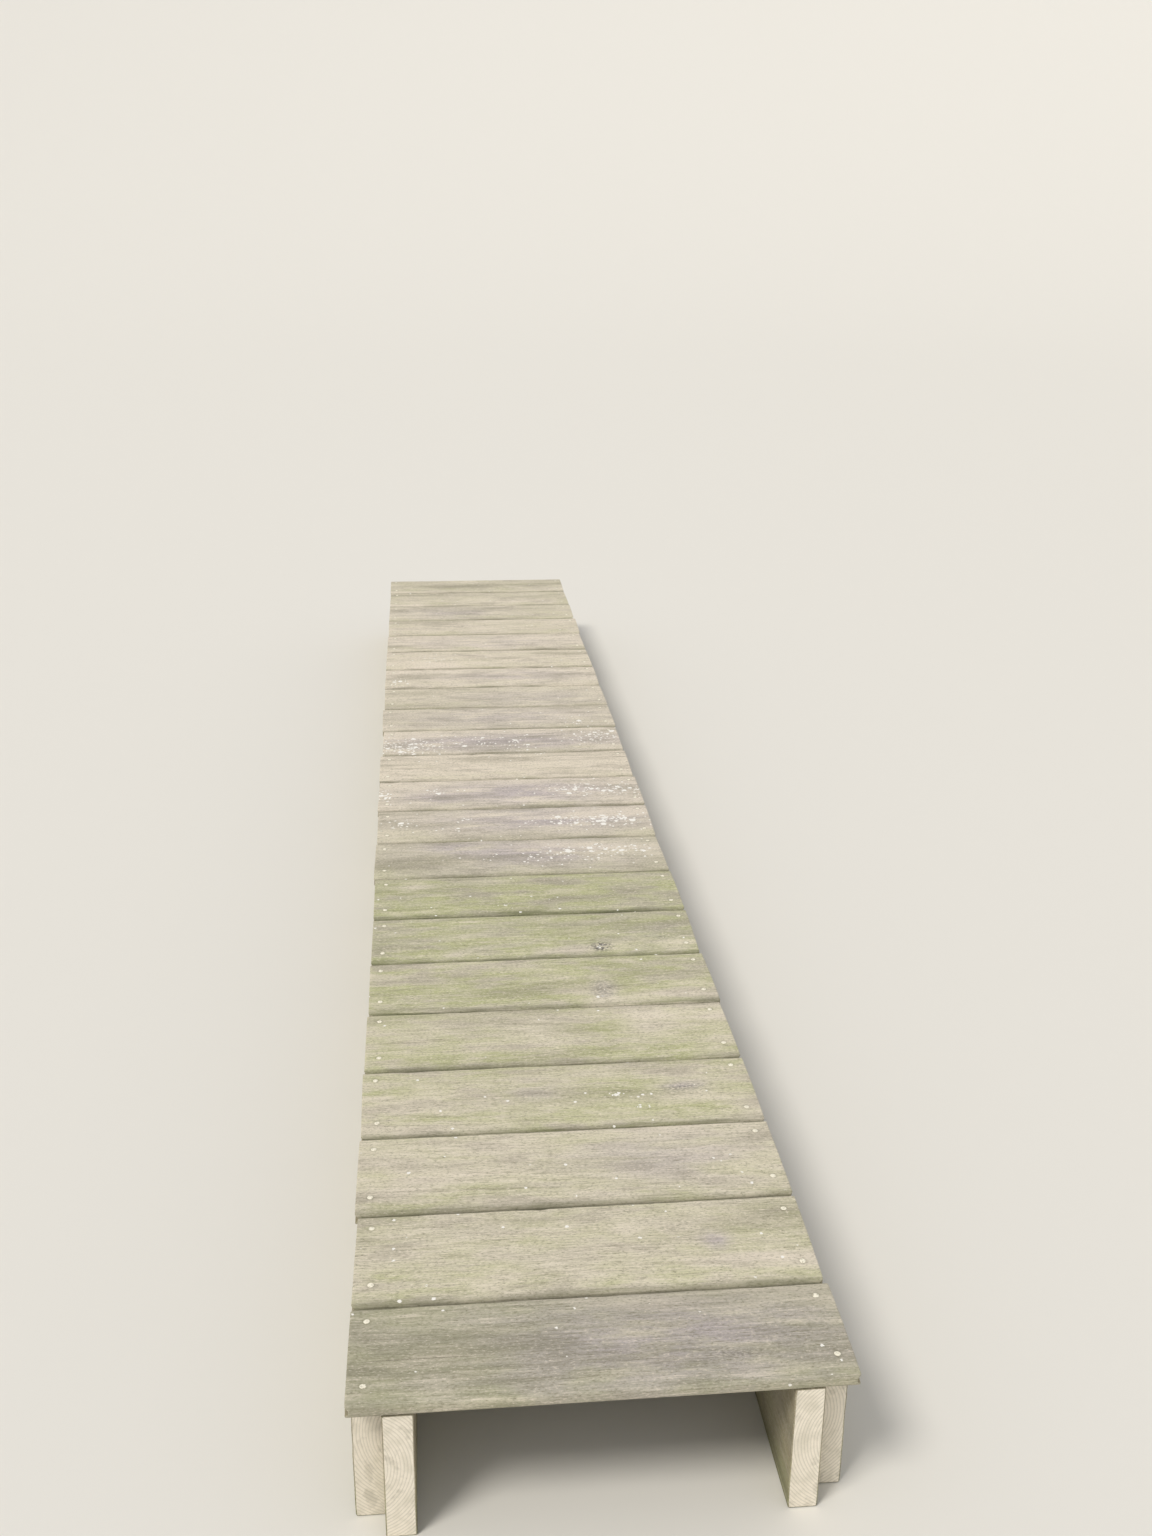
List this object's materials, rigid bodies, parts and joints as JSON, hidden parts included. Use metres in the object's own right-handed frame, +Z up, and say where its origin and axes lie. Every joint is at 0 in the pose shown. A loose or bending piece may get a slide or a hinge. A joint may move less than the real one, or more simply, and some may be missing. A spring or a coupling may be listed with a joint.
{
  "type": "plank footbridge",
  "caption": "Low wooden footbridge without rails: short weathered deck boards laid across paired timber stringers on edge.",
  "frame": {"origin": "under the middle of the bridge, level with the underside of the stringers", "axes": "+Y along the bridge from the near end to the far end, +X to the right of someone walking that way, +Z up"},
  "size_m": [0.618, 4.099, 0.203],
  "materials": {
    "deck_timber": "weathered grey-green, matte",
    "stringer_timber": "weathered, matte",
    "nails": "dull galvanised, weathered"
  },
  "bodies": {
    "root": {"left_outer_stringer": "stringer_timber", "left_inner_stringer": "stringer_timber", "right_inner_stringer": "stringer_timber", "right_outer_stringer": "stringer_timber", "deck_board_01": "deck_timber", "deck_board_02": "deck_timber", "deck_board_03": "deck_timber", "deck_board_04": "deck_timber", "deck_board_05": "deck_timber", "deck_board_06": "deck_timber", "deck_board_07": "deck_timber", "deck_board_08": "deck_timber", "deck_board_09": "deck_timber", "deck_board_10": "deck_timber", "deck_board_11": "deck_timber", "deck_board_12": "deck_timber", "deck_board_13": "deck_timber", "deck_board_14": "deck_timber", "deck_board_15": "deck_timber", "deck_board_16": "deck_timber", "deck_board_17": "deck_timber", "deck_board_18": "deck_timber", "deck_board_19": "deck_timber", "deck_board_20": "deck_timber", "deck_board_21": "deck_timber", "deck_board_22": "deck_timber"}
  },
  "joints": []
}
